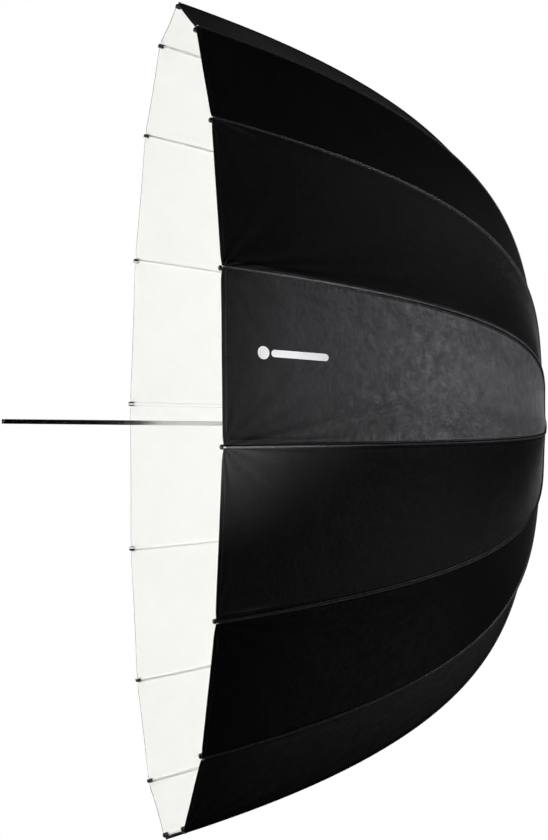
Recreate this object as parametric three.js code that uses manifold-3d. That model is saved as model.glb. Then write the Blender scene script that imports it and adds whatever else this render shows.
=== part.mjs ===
// Deep studio umbrella reflector, open, with sixteen ribs.
// Millimetres, +Z up. The shaft lies along X: its free end points to -X and the crown to +X.
// The origin is on the shaft's axis, where a lamp head's holder clamps it.
// One rib set is worked out in the XZ plane, with x along the shaft and z as the radius from it,
// and is then turned round X sixteen times.
import * as THREE from 'three';
import { mergeVertices } from 'three/addons/utils/BufferGeometryUtils.js';
import Module from 'manifold-3d';

const wasm = await Module();
wasm.setup();

// ---- Driving dimensions ----
const RIBS = 16;
const FIRST_RIB_ANGLE = THREE.MathUtils.degToRad(3.2); // of rib 01, from +Z towards -Y

const RIM_X = 193; // the rim's plane, from the grip
const RIM_RADIUS = 625; // outside of the cloth at a rib
const DEPTH = 566; // rim plane to the cloth at the crown
const CROWN_SLOPE = THREE.MathUtils.degToRad(75); // of the cloth against the axis, at the crown
const RIM_SLOPE = THREE.MathUtils.degToRad(17.6); // and at the rim
const CROWN_PULL = 253; // how far each end of the rib's curve keeps its slope
const RIM_PULL = 583;

const CLOTH = 0.8; // thickness of cloth and lining with the seams' allowance
const RIB_INSET = 5.5; // rib's centre line below the outside of the cloth
const ELBOW_AT = 0.55; // place of the stretcher clip along the rib's curve, 0 crown to 1 rim
const CLIP_DROP = 7; // stretcher's pivot below the rib's centre line

const GAP = 0.3; // between pieces that touch
const ROD_RADIUS = 2; // glass-fibre rib
const STRETCHER_RADIUS = 1.5;
const TONGUE = 2.4; // thickness of every flat eye
const CHEEK = 1; // thickness of each side of a clip
const SLOT = 3.2; // width of a hub's slot, and the gap between a clip's cheeks
const EYE_RADIUS = 2.4;
const EYE_HOLE = 1.2;
const EYE_NECK = 1.6; // half the flat tongue's width beside its eye
const RIVET_RADIUS = 0.8;
const ROD_START = 7; // from a pivot to the round rod
const CLIP_LENGTH = 16; // from the elbow to the clip's end on the rod
const CLIP_ROUND = 2.8; // radius of its rounded ends
const CLIP_OPENING = 4.5; // from the elbow to the floor of the gap between its cheeks
const TIP_LENGTH = 9;
const TIP_RADIUS = 3.6;
const TIP_PROUD = 1.8; // tip cap past the hem

const SHAFT_RADIUS = 3.5;
const SHAFT_BORE = 2.5;
const SHAFT_FREE_END = -60;
const PLUG_FLANGE = 3;
const PLUG_STEM = 14;
const PLUG_EDGE = 0.5;

const PIVOT_RADIUS = 18; // of both hinge rings
const HUB_RADIUS = 21.5;
const HUB_CORE = 13.5; // what the slots leave
const HUB_HALF = 3.5; // half the notched disc's thickness
const HUB_TOP = 3; // from the crown's pivots to the face under the cloth
const RING_WIRE = 0.8;
const GROOVE_FLOOR = 16.7;
const GROOVE_HALF = 1.2;
const COLLAR_RADIUS = 8;
const CROWN_COLLAR = 14; // length
const PIN_SETBACK = 4; // cross pin from the collar's end
const CAP_RADIUS = 14;
const CAP_HEIGHT = 3.6;
const CAP_STEM = 15;
const CAP_FLAT = 4; // radius of its flat top
const CAP_SHOULDER = 9; // radius where the dome starts to fall away
const CAP_EDGE = 0.6;
const CLOTH_HOLE = 5; // radius of the cloth's hole, under the cap
const CLOTH_RISE = 0.4; // from the ribs' start up to the hole
const PIN_RADIUS = 0.9; // cross pin through the crown's collar
const RUNNER_COLLAR = 9;
const SLEEVE_LENGTH = 30;
const SPIGOT_RADIUS = 5.6;
const SPIGOT_LENGTH = 14;

const CATCH_PIVOT = 38; // from the tooth's face back to the pin
const CATCH_WIDTH = 1.2;
const CATCH_SLOT = 1.8;
const CATCH_SLOT_PAST = 2; // slot past the tooth
const CATCH_SLOT_BEHIND = 4; // and behind the pin
const CATCH_CLEARANCE = 0.5; // tooth to the open runner
const CATCH_FOOT = 0.6; // of the leaf's lower edge above the shaft's axis
const CATCH_EYE = 1.6;
const LEAF_HEIGHT = 1.5; // of the leaf's top at the pin
const RAMP_HEIGHT = 2.6; // and where the ramp starts
const RAMP_LENGTH = 9;
const TOOTH_LAND = 1.5; // flat on the tooth's top
const TOOTH_HEIGHT = 5.4; // of the tooth's top above the shaft's axis
const CATCH_PIN_RADIUS = 0.6;

// ---- Materials ----
const paint = (color, roughness, metalness) =>
  new THREE.MeshStandardMaterial({ color, roughness, metalness });
const blackCloth = paint(0x17171a, 0.6, 0);
const whiteFibre = paint(0xd9d9d3, 0.45, 0);
const polishedSteel = paint(0x9b9b96, 0.25, 1);
const zinc = paint(0x8c8d90, 0.4, 1);
const blackPlastic = paint(0x151517, 0.5, 0);
const greyPlastic = paint(0x6f7072, 0.45, 0);

// ---- Solids: joining, cutting and simple shapes ----
function solidOf(geometry) {
  const bare = geometry.clone();
  bare.deleteAttribute('normal');
  bare.deleteAttribute('uv');
  const merged = mergeVertices(bare, 1e-4);
  return new wasm.Manifold(new wasm.Mesh({
    numProp: 3,
    vertProperties: new Float32Array(merged.attributes.position.array),
    triVerts: new Uint32Array(merged.index.array),
  }));
}

function geometryOf(solid) {
  const mesh = solid.getMesh();
  const geometry = new THREE.BufferGeometry();
  geometry.setAttribute('position', new THREE.BufferAttribute(mesh.vertProperties, 3));
  geometry.setIndex(new THREE.BufferAttribute(mesh.triVerts, 1));
  return geometry;
}

const join = (first, ...rest) =>
  geometryOf(rest.reduce((sum, g) => sum.add(solidOf(g)), solidOf(first)));
const cut = (body, ...tools) =>
  geometryOf(tools.reduce((left, g) => left.subtract(solidOf(g)), solidOf(body)));

// A ring or a disc turned round X, from (x, radius) corners in order.
function turned(corners, segments = 20) {
  const outline = corners.map(([x, radius]) => new THREE.Vector2(radius, x));
  const first = outline[0];
  if (outline.at(-1).distanceTo(first) > 1e-9) outline.push(first.clone());
  return new THREE.LatheGeometry(outline, segments).rotateZ(-Math.PI / 2);
}

// A solid turned round X whose outline starts and ends on the axis.
function turnedSolid(corners, segments = 20) {
  const outline = corners.map(([x, radius]) => new THREE.Vector2(radius, x));
  return new THREE.LatheGeometry(outline, segments).rotateZ(-Math.PI / 2);
}

// A pin across the rib's plane, along Y, at a point (x, z).
const crossPin = (at, radius, length, sides = 6) =>
  new THREE.CylinderGeometry(radius, radius, length, sides).translate(at.x, 0, at.y);

// A flat plate in the rib's plane, from a shape in (x, z), centred on y = 0.
function plate(shape, thickness, curveSegments = 3) {
  const options = { depth: thickness, bevelEnabled: false, curveSegments };
  return new THREE.ExtrudeGeometry(shape, options)
    .rotateX(Math.PI / 2)
    .translate(0, thickness / 2, 0);
}

// A straight or bent bar of regular section along a curve in space.
function bar(curve, radius, steps, sides = 6) {
  const section = new THREE.Shape();
  for (let k = 0; k < sides; k += 1) {
    const angle = (k + 0.5) * 2 * Math.PI / sides;
    section[k ? 'lineTo' : 'moveTo'](radius * Math.cos(angle), radius * Math.sin(angle));
  }
  section.closePath();
  return new THREE.ExtrudeGeometry(section, { extrudePath: curve, steps, bevelEnabled: false });
}

const inPlane = (point) => new THREE.Vector3(point.x, 0, point.y);
const straightBar = (from, to, radius, sides) =>
  bar(new THREE.LineCurve3(inPlane(from), inPlane(to)), radius, 1, sides);

// ---- The rib's curve: the cloth's outside along a rib, from crown to rim ----
const clothAtCrown = new THREE.Vector2(
  RIM_X + DEPTH,
  PIVOT_RADIUS + RIB_INSET * Math.cos(CROWN_SLOPE),
);
const clothAtRim = new THREE.Vector2(RIM_X, RIM_RADIUS);
const outward = (slope) => new THREE.Vector2(-Math.cos(slope), Math.sin(slope));
const profile = new THREE.CubicBezierCurve(
  clothAtCrown,
  clothAtCrown.clone().addScaledVector(outward(CROWN_SLOPE), CROWN_PULL),
  clothAtRim.clone().addScaledVector(outward(RIM_SLOPE), -RIM_PULL),
  clothAtRim,
);
const alongRib = (t) => profile.getTangent(t);
const inward = (t) => {
  const tangent = alongRib(t);
  return new THREE.Vector2(-tangent.y, tangent.x);
};
const below = (t, depth) => profile.getPoint(t).addScaledVector(inward(t), depth);

class RibLine extends THREE.Curve {
  constructor(from, to) {
    super();
    this.span = [from, to];
  }
  getPoint(share) {
    const [from, to] = this.span;
    return inPlane(below(from + (to - from) * share, RIB_INSET));
  }
}

// The curve's parameter at a distance from one of its places, positive towards the rim.
function stepAlong(t, distance) {
  const slices = 400;
  const sign = Math.sign(distance);
  let left = Math.abs(distance);
  let here = t;
  while (left > 0) {
    const next = here + sign / slices;
    const length = below(here, RIB_INSET).distanceTo(below(next, RIB_INSET));
    if (length > left) return here + (sign / slices) * (left / length);
    left -= length;
    here = next;
  }
  return here;
}

// ---- The linkage's pivots ----
const crownPivot = below(0, RIB_INSET);
const elbow = below(ELBOW_AT, RIB_INSET);
const clipPivot = below(ELBOW_AT, RIB_INSET + CLIP_DROP);
const runnerPivot = new THREE.Vector2(2 * clipPivot.x - crownPivot.x, PIVOT_RADIUS);

// Moves a plate drawn round (0, 0), with its length along +x, to a point and a direction of the plane.
function placed(flat, at, along) {
  return flat.rotateY(-Math.atan2(along.y, along.x)).translate(at.x, 0, at.y);
}

// An eye at a pivot, with its flat tongue towards another point.
function tongue(pivot, towards) {
  const reach = ROD_START + 2;
  const opening = Math.asin(EYE_NECK / EYE_RADIUS);
  const outline = new THREE.Shape();
  outline.moveTo(reach, -EYE_NECK);
  outline.lineTo(reach, EYE_NECK);
  outline.absarc(0, 0, EYE_RADIUS, opening, 2 * Math.PI - opening, false);
  outline.closePath();
  const eye = placed(plate(outline, TONGUE), pivot, towards.clone().sub(pivot));
  return cut(eye, crossPin(pivot, EYE_HOLE, TONGUE + 2));
}

// ---- Rib, inner piece: crown eye, rod, and the clip that holds elbow and stretcher ----
// The clip is a block round the rod's end, open between its two cheeks from edge to edge.
function clip() {
  const outline = new THREE.Shape();
  outline.moveTo(CLIP_LENGTH, CLIP_ROUND);
  outline.absarc(0, 0, CLIP_ROUND, Math.PI / 2, Math.PI, false);
  outline.absarc(0, -CLIP_DROP, CLIP_ROUND, Math.PI, 1.75 * Math.PI, false);
  outline.lineTo(ROD_START + 1, -CLIP_ROUND);
  outline.lineTo(CLIP_LENGTH, -CLIP_ROUND);
  outline.closePath();
  const opening = new THREE.Shape();
  const past = CLIP_ROUND + 1;
  opening.moveTo(CLIP_OPENING, past);
  opening.lineTo(-past, past);
  opening.lineTo(-past, -CLIP_DROP - past);
  opening.lineTo(CLIP_OPENING, -CLIP_DROP - past);
  opening.closePath();
  const block = cut(plate(outline, SLOT + 2 * CHEEK, 2), plate(opening, SLOT));
  return placed(block, elbow, alongRib(ELBOW_AT).negate());
}

function innerRib() {
  const start = stepAlong(0, ROD_START);
  const rodEnd = stepAlong(ELBOW_AT, -CLIP_LENGTH + 2);
  const rivet = SLOT + CHEEK;
  return join(
    bar(new RibLine(start, rodEnd), ROD_RADIUS, 4),
    tongue(crownPivot, below(start, RIB_INSET)),
    clip(),
    crossPin(elbow, RIVET_RADIUS, rivet),
    crossPin(clipPivot, RIVET_RADIUS, rivet),
  );
}

// ---- Rib, outer piece: elbow eye, rod and tip cap ----
function outerRib() {
  const start = stepAlong(ELBOW_AT, ROD_START);
  const rodEnd = stepAlong(1, -(TIP_LENGTH - TIP_PROUD) / 2);
  const hem = below(1, RIB_INSET);
  const outwards = alongRib(1);
  return join(
    bar(new RibLine(start, rodEnd), ROD_RADIUS, 7),
    tongue(elbow, below(start, RIB_INSET)),
    straightBar(
      hem.clone().addScaledVector(outwards, TIP_PROUD - TIP_LENGTH),
      hem.clone().addScaledVector(outwards, TIP_PROUD),
      TIP_RADIUS,
    ),
  );
}

// ---- Stretcher: an eye at each end of a straight rod ----
function stretcher() {
  const along = runnerPivot.clone().sub(clipPivot).normalize();
  const atClip = clipPivot.clone().addScaledVector(along, ROD_START);
  const atRunner = runnerPivot.clone().addScaledVector(along, -ROD_START);
  return join(
    straightBar(atClip, atRunner, STRETCHER_RADIUS),
    tongue(clipPivot, runnerPivot),
    tongue(runnerPivot, clipPivot),
  );
}

// ---- Hubs and their hinge rings ----
function radialSlots(x, halfLength) {
  const depth = HUB_RADIUS - HUB_CORE + 4;
  return Array.from({ length: RIBS }, (_, k) => {
    const box = new THREE.BoxGeometry(2 * halfLength, SLOT, depth);
    box.translate(x, 0, HUB_CORE + depth / 2);
    return box.rotateX(FIRST_RIB_ANGLE + k * 2 * Math.PI / RIBS);
  });
}

// Notched disc with a groove for its ring, and whatever stands on its two sides.
function notchedHub(x, sideMinus, sidePlus, halfMinus, halfPlus) {
  const body = turned([
    ...sideMinus,
    [x - halfMinus, HUB_RADIUS],
    [x - GROOVE_HALF, HUB_RADIUS],
    [x - GROOVE_HALF, GROOVE_FLOOR],
    [x + GROOVE_HALF, GROOVE_FLOOR],
    [x + GROOVE_HALF, HUB_RADIUS],
    [x + halfPlus, HUB_RADIUS],
    ...sidePlus,
  ], RIBS);
  return cut(body.rotateX(FIRST_RIB_ANGLE), ...radialSlots(x, HUB_HALF + 2));
}

function hingeRing(x) {
  const ring = new THREE.TorusGeometry(PIVOT_RADIUS / Math.cos(Math.PI / RIBS), RING_WIRE, 6, RIBS);
  const betweenRibs = FIRST_RIB_ANGLE + Math.PI / RIBS;
  return ring.rotateY(Math.PI / 2).rotateX(betweenRibs).translate(x, 0, 0);
}

const bore = SHAFT_RADIUS + GAP;
const hubFace = crownPivot.x + HUB_TOP;
const bossFace = RIM_X + DEPTH - CLOTH - GAP;
const collarEnd = crownPivot.x - HUB_HALF - CROWN_COLLAR;
const crownPinAt = new THREE.Vector2(collarEnd + PIN_SETBACK, 0);

function crownHub() {
  const hub = notchedHub(
    crownPivot.x,
    [
      [bossFace, bore],
      [collarEnd, bore],
      [collarEnd, COLLAR_RADIUS],
      [crownPivot.x - HUB_HALF, COLLAR_RADIUS],
    ],
    [
      [hubFace, HUB_CORE],
      [bossFace, HUB_CORE - 1],
    ],
    HUB_HALF,
    hubFace - crownPivot.x,
  );
  return cut(hub, crossPin(crownPinAt, PIN_RADIUS + GAP, 2 * COLLAR_RADIUS + 2));
}

const crownPin = () => crossPin(crownPinAt, PIN_RADIUS, 2 * COLLAR_RADIUS - 1, 12);

// Domed disc over the cloth, on a screw that goes into the shaft.
function crownCap() {
  const under = RIM_X + DEPTH + CLOTH_RISE + GAP;
  const stem = SHAFT_BORE - GAP;
  return turnedSolid([
    [under + CAP_HEIGHT, 0],
    [under + CAP_HEIGHT, CAP_FLAT],
    [under + 0.85 * CAP_HEIGHT, CAP_SHOULDER],
    [under + 0.4 * CAP_HEIGHT, CAP_RADIUS - CAP_EDGE],
    [under, CAP_RADIUS],
    [under, stem],
    [under - CAP_STEM, stem],
    [under - CAP_STEM, 0],
  ].reverse());
}

const sleeveEnd = runnerPivot.x - HUB_HALF - RUNNER_COLLAR;
const sleeveStart = sleeveEnd - SLEEVE_LENGTH;

function runnerHub() {
  const faceMinus = runnerPivot.x - HUB_HALF;
  const facePlus = runnerPivot.x + HUB_HALF;
  return notchedHub(
    runnerPivot.x,
    [
      [facePlus, bore],
      [sleeveEnd - SPIGOT_LENGTH, bore],
      [sleeveEnd - SPIGOT_LENGTH, SPIGOT_RADIUS],
      [sleeveEnd, SPIGOT_RADIUS],
      [sleeveEnd, COLLAR_RADIUS],
      [faceMinus, COLLAR_RADIUS],
    ],
    [],
    HUB_HALF,
    HUB_HALF,
  );
}

function runnerSleeve() {
  const step = sleeveEnd - SPIGOT_LENGTH - GAP;
  return turned([
    [sleeveStart, bore],
    [sleeveStart, COLLAR_RADIUS - 1],
    [sleeveStart + 1, COLLAR_RADIUS],
    [sleeveEnd - GAP, COLLAR_RADIUS],
    [sleeveEnd - GAP, SPIGOT_RADIUS + GAP],
    [step, SPIGOT_RADIUS + GAP],
    [step, bore],
  ]);
}

// ---- Shaft, with the catch that holds the runner open ----
const toothFace = sleeveStart - CATCH_CLEARANCE;
const catchPivot = new THREE.Vector2(toothFace - CATCH_PIVOT, 0);

function shaftTube() {
  const top = hubFace;
  const foot = SHAFT_FREE_END + PLUG_FLANGE + GAP;
  const tube = turned([
    [foot, SHAFT_BORE],
    [foot, SHAFT_RADIUS],
    [top, SHAFT_RADIUS],
    [top, SHAFT_BORE],
  ]);
  const slotLength = CATCH_SLOT_BEHIND + CATCH_PIVOT + CATCH_SLOT_PAST;
  const slot = new THREE.BoxGeometry(slotLength, CATCH_SLOT, 2 * SHAFT_RADIUS);
  slot.translate(catchPivot.x - CATCH_SLOT_BEHIND + slotLength / 2, 0, SHAFT_RADIUS);
  return cut(
    tube,
    slot,
    crossPin(catchPivot, CATCH_PIN_RADIUS + GAP, 2 * SHAFT_RADIUS + 2),
    crossPin(crownPinAt, PIN_RADIUS + GAP, 2 * SHAFT_RADIUS + 2),
  );
}

// Leaf with a ramp and a tooth: the runner rides over the ramp and stops against the tooth.
function catchSpring() {
  const outline = new THREE.Shape();
  const { x } = catchPivot;
  outline.moveTo(toothFace, CATCH_FOOT);
  outline.lineTo(toothFace, TOOTH_HEIGHT);
  outline.lineTo(toothFace - TOOTH_LAND, TOOTH_HEIGHT);
  outline.lineTo(toothFace - RAMP_LENGTH, RAMP_HEIGHT);
  outline.lineTo(x + 1, LEAF_HEIGHT);
  outline.absarc(x, 0, CATCH_EYE, 0.3 * Math.PI, 1.7 * Math.PI, false);
  outline.lineTo(toothFace - RAMP_LENGTH + 1, CATCH_FOOT);
  outline.closePath();
  return cut(
    plate(outline, CATCH_WIDTH),
    crossPin(catchPivot, CATCH_PIN_RADIUS + GAP, CATCH_WIDTH + 2),
  );
}

const catchPin = () => crossPin(catchPivot, CATCH_PIN_RADIUS, 2 * SHAFT_RADIUS - 0.2, 10);

function endPlug() {
  const flange = SHAFT_FREE_END + PLUG_FLANGE;
  const stem = SHAFT_BORE - GAP;
  return turnedSolid([
    [SHAFT_FREE_END, 0],
    [SHAFT_FREE_END, SHAFT_RADIUS - PLUG_EDGE],
    [SHAFT_FREE_END + PLUG_EDGE, SHAFT_RADIUS],
    [flange, SHAFT_RADIUS],
    [flange, stem],
    [flange + PLUG_STEM, stem],
    [flange + PLUG_STEM, 0],
  ]);
}

// ---- Canopy: sixteen flat-sided gores as one shell, open at the rim ----
function canopy() {
  const columns = 2 * RIBS; // one on each rib and one between
  const stations = 12;
  const atHole = RIM_X + DEPTH + CLOTH_RISE;
  const outer = [[atHole, CLOTH_HOLE]];
  const inner = [[atHole - CLOTH, CLOTH_HOLE]];
  for (let k = 0; k <= stations; k += 1) {
    const outside = profile.getPoint(k / stations);
    const inside = below(k / stations, CLOTH);
    outer.push([outside.x, outside.y]);
    inner.push([inside.x, inside.y]);
  }
  const loop = [...outer, ...inner.reverse()];
  const position = [];
  const index = [];
  for (let c = 0; c < columns; c += 1) {
    const angle = FIRST_RIB_ANGLE + c * Math.PI / RIBS;
    const chord = c % 2 ? Math.cos(Math.PI / RIBS) : 1;
    for (const [x, radius] of loop) {
      position.push(x, -radius * chord * Math.sin(angle), radius * chord * Math.cos(angle));
    }
    for (let k = 0; k < loop.length; k += 1) {
      const a = c * loop.length + k;
      const b = c * loop.length + (k + 1) % loop.length;
      const next = ((c + 1) % columns - c) * loop.length;
      index.push(a, b, b + next, a, b + next, a + next);
    }
  }
  const shell = new THREE.BufferGeometry();
  shell.setAttribute('position', new THREE.Float32BufferAttribute(position, 3));
  shell.setIndex(index);
  return shell;
}

// ---- Assembly ----
const umbrella = new THREE.Group();

function add(name, geometry, material, turn = 0) {
  const mesh = new THREE.Mesh(geometry, material);
  mesh.name = name;
  mesh.rotation.x = turn;
  umbrella.add(mesh);
}

add('shaft_tube', shaftTube(), polishedSteel);
add('shaft_end_plug', endPlug(), blackPlastic);
add('crown_hub', crownHub(), zinc);
add('crown_hinge_ring', hingeRing(crownPivot.x), polishedSteel);
add('crown_pin', crownPin(), polishedSteel);
add('crown_cap', crownCap(), greyPlastic);
add('catch_spring', catchSpring(), polishedSteel);
add('catch_pin', catchPin(), polishedSteel);
add('canopy', canopy(), blackCloth);
add('runner_hub', runnerHub(), zinc);
add('runner_hinge_ring', hingeRing(runnerPivot.x), polishedSteel);
add('runner_sleeve', runnerSleeve(), blackPlastic);

const inner = innerRib();
const outer = outerRib();
const strut = stretcher();
for (let k = 0; k < RIBS; k += 1) {
  const number = String(k + 1).padStart(2, '0');
  const turn = FIRST_RIB_ANGLE + k * 2 * Math.PI / RIBS;
  add(`rib_inner_${number}`, inner, whiteFibre, turn);
  add(`rib_outer_${number}`, outer, whiteFibre, turn);
  add(`stretcher_${number}`, strut, polishedSteel, turn);
}

export default umbrella;
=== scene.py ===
"""Deep sixteen-rib umbrella reflector: the looks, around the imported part.
Metres, in the part's own frame: shaft along X, free end towards -X, crown towards +X, +Z up."""
import math
from itertools import product

import bmesh
import bpy
import numpy as np
from mathutils import Matrix, Vector


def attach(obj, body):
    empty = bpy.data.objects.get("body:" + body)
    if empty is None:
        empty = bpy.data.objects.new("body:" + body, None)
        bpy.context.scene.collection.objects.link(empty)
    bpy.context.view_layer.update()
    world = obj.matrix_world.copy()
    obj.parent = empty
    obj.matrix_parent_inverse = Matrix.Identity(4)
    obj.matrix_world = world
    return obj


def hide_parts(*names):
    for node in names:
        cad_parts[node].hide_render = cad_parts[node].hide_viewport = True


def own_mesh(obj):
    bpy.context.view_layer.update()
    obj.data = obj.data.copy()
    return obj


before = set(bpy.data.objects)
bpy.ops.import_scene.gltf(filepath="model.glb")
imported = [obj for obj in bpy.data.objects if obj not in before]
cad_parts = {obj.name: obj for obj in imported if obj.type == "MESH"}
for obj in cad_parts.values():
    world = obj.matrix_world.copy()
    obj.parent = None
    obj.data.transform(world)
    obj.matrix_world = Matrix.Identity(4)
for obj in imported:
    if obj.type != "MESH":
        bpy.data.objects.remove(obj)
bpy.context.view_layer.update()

MM = 0.001
RIBS = 16
FIRST_RIB = math.radians(3.2)  # turn of rib 01 from +Z
HALF_GORE = math.pi / RIBS
PIVOT_RADIUS = 18 * MM  # of the wires that the ribs and stretchers hang on
RIB_INSET = 5.5 * MM  # of a rib's middle under the cloth
ELBOW_AT = 0.55
CLIP_DROP = 7 * MM
ROD_RADIUS = 2 * MM
STRETCHER_RADIUS = 1.5 * MM


def rib_angle(rib):
    return FIRST_RIB + rib * 2 * HALF_GORE


def turned(points, rib):
    """Points made at angle 0, where a rib lies in the XZ plane, turned round X to a rib's place."""
    c, s = math.cos(rib_angle(rib)), math.sin(rib_angle(rib))
    return points @ np.array([(1, 0, 0), (0, c, s), (0, -s, c)])


# ---------------------------------------------------------------- camera

CAMERA_TURN = (-7.891, -0.368, 0.521)  # azimuth, elevation and roll, in degrees
CAMERA_AT = (-0.4109, -5.473, -0.0294)
CAMERA_LENS = 158.05


def set_camera():
    azimuth, elevation, roll = (math.radians(a) for a in CAMERA_TURN)
    right = np.array([math.cos(azimuth), math.sin(azimuth), 0.0])
    back = np.array([
        math.sin(azimuth) * math.cos(elevation),
        -math.cos(azimuth) * math.cos(elevation),
        math.sin(elevation),
    ])
    up = np.cross(back, right)
    c, s = math.cos(roll), math.sin(roll)
    axes = np.stack([c * right + s * up, c * up - s * right, back], 1)
    data = bpy.data.cameras.new("camera")
    data.lens, data.sensor_width = CAMERA_LENS, 36
    data.clip_start, data.clip_end = 0.1, 200
    camera = bpy.data.objects.new("camera", data)
    camera.matrix_world = Matrix([*np.column_stack([axes, CAMERA_AT]).tolist(), (0, 0, 0, 1)])
    bpy.context.scene.collection.objects.link(camera)
    bpy.context.scene.camera = camera
    bpy.context.scene.view_settings.view_transform = "Standard"


set_camera()

# ---------------------------------------------------------------- node helpers


class Nodes:
    """A small way to write a node tree: n("ShaderNodeX", {socket: value or output}, property=...)."""

    def __init__(self, owner):
        owner.use_nodes = True
        self.tree = owner.node_tree
        self.tree.nodes.clear()

    def __call__(self, kind, inputs=None, **properties):
        node = self.tree.nodes.new(kind)
        for name, value in properties.items():
            setattr(node, name, value)
        for socket, value in (inputs or {}).items():
            if isinstance(value, bpy.types.NodeSocket):
                self.tree.links.new(value, node.inputs[socket])
            else:
                node.inputs[socket].default_value = value
        return node

    def place(self):
        """Where a point is on its piece, in metres."""
        return self("ShaderNodeTexCoord").outputs["Object"]

    def math(self, operation, a, b=0.0):
        return self("ShaderNodeMath", {0: a, 1: b}, operation=operation).outputs[0]

    def times(self, a, b):
        return self.math("MULTIPLY", a, b)

    def plus(self, a, b):
        return self.math("ADD", a, b)

    def shares(self, a, share_a, b, share_b):
        """The sum of two values, each times its share."""
        return self.plus(self.times(a, share_a), self.times(b, share_b))

    def ramp(self, value, low, high, to_low=0.0, to_high=1.0):
        return self("ShaderNodeMapRange", {
            "Value": value, "From Min": low, "From Max": high, "To Min": to_low, "To Max": to_high,
        }, interpolation_type="SMOOTHSTEP").outputs["Result"]

    def noise(self, vector, scale, detail, rough):
        """Noise with one scale, or with one for each axis."""
        if isinstance(scale, tuple):
            vector = self("ShaderNodeVectorMath", {0: vector, 1: scale}, operation="MULTIPLY").outputs[0]
            scale = 1.0
        return self("ShaderNodeTexNoise", {
            "Vector": vector, "Scale": scale, "Detail": detail, "Roughness": rough,
        }).outputs["Fac"]

    def mix_colour(self, factor, a, b):
        a, b = ((*c, 1.0) if isinstance(c, tuple) else c for c in (a, b))
        return self("ShaderNodeMix", {"Factor": factor, 6: a, 7: b}, data_type="RGBA").outputs[2]

    def bump(self, height, distance, strength, normal=None):
        sockets = {"Height": height, "Distance": distance, "Strength": strength}
        if normal is not None:
            sockets["Normal"] = normal
        return self("ShaderNodeBump", sockets).outputs["Normal"]


def material(name, look, **constants):
    """A material from constant sockets and the ones that its look works out."""
    made = bpy.data.materials.new(name)
    n = Nodes(made)
    sockets = {socket.replace("_", " "): value for socket, value in {**constants, **look(n)}.items()}
    shader = n("ShaderNodeBsdfPrincipled", sockets)
    n("ShaderNodeOutputMaterial", {"Surface": shader.outputs[0]})
    return made


# ---------------------------------------------------------------- mesh helpers

SHARP = math.radians(40)


def new_mesh(name, points, faces, materials, index=None):
    mesh = bpy.data.meshes.new(name)
    mesh.from_pydata([tuple(p) for p in points], [], [tuple(f) for f in faces])
    for m in materials:
        mesh.materials.append(m)
    mesh.polygons.foreach_set("use_smooth", np.full(len(mesh.polygons), True))
    if index is not None:
        mesh.polygons.foreach_set("material_index", np.asarray(index, np.int32))
    mesh.update()
    return mesh


def new_object(name, mesh):
    made = bpy.data.objects.new(name, mesh)
    bpy.context.scene.collection.objects.link(made)
    return made


def solid(name, points, faces, materials):
    """A closed piece with its faces turned outwards."""
    made = new_object(name, new_mesh(name, points, faces, materials))
    outward(made.data)
    return made


def outward(mesh):
    work = bmesh.new()
    work.from_mesh(mesh)
    bmesh.ops.recalc_face_normals(work, faces=work.faces)
    work.to_mesh(mesh)
    work.free()
    mesh.update()


def applied(obj):
    """Makes the object's modifiers part of its mesh."""
    graph = bpy.context.evaluated_depsgraph_get()
    mesh = bpy.data.meshes.new_from_object(obj.evaluated_get(graph), preserve_all_data_layers=True,
                                           depsgraph=graph)
    obj.modifiers.clear()
    obj.data = mesh


def add_bevel(obj, width, limit):
    bevel = obj.modifiers.new("bevel", "BEVEL")
    bevel.width, bevel.segments = width, 2
    bevel.limit_method, bevel.angle_limit = "ANGLE", math.radians(limit)


def finished(obj, bevel, cutter=None):
    """Cuts, bevels and shades a hard piece, and leaves it without modifiers."""
    if cutter:
        cut = obj.modifiers.new("cut", "BOOLEAN")
        cut.operation, cut.solver, cut.object = "DIFFERENCE", "EXACT", cutter
        applied(obj)
        bpy.data.objects.remove(cutter)
    add_bevel(obj, bevel, 35)
    applied(obj)
    obj.data.polygons.foreach_set("use_smooth", np.full(len(obj.data.polygons), True))
    obj.data.set_sharp_from_angle(angle=SHARP)


def ring_faces(rows, segments, closed=True):
    """Faces between rings of points that follow one another; closed joins the last ring to the first."""
    faces = []
    for i in range(rows if closed else rows - 1):
        j = (i + 1) % rows
        for k in range(segments):
            m = (k + 1) % segments
            faces.append((i * segments + k, j * segments + k, j * segments + m, i * segments + m))
    return faces


def rings(outline, segments):
    """Each (place, radius) corner of an outline repeated round a circle, and the angle of each point.
    A corner on the axis keeps a radius of a micron."""
    place, radius = np.repeat(np.array(outline, float), segments, 0).T
    turn = np.tile(np.arange(segments) * 2 * math.pi / segments, len(outline))
    return place, np.maximum(radius, 1e-6), turn


def lathe(name, outline, materials, segments):
    """A piece turned round X, from (x, radius) corners."""
    x, radius, turn = rings(outline, segments)
    points = np.stack([x, -radius * np.sin(turn), radius * np.cos(turn)], 1)
    made = new_object(name, new_mesh(name, points, ring_faces(len(outline), segments), materials))
    made.modifiers.new("weld", "WELD").merge_threshold = 3e-6
    applied(made)
    outward(made.data)
    return made


def sweep(centres, across, in_plane, wide, high, sides, caps=True):
    """Points and faces of a bar whose section is wide by high (half sizes) along centres."""
    angle = (np.arange(sides) + 0.5) * 2 * math.pi / sides
    wide, high = (np.broadcast_to(size, len(centres))[:, None, None] for size in (wide, high))
    points = (
        centres[:, None]
        + wide * np.cos(angle)[None, :, None] * across[:, None]
        + high * np.sin(angle)[None, :, None] * in_plane[:, None]
    ).reshape(-1, 3)
    faces = ring_faces(len(centres), sides, closed=False)
    if caps:
        last = (len(centres) - 1) * sides
        faces += [tuple(range(sides)), tuple(reversed(range(last, last + sides)))]
    return points, faces


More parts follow.
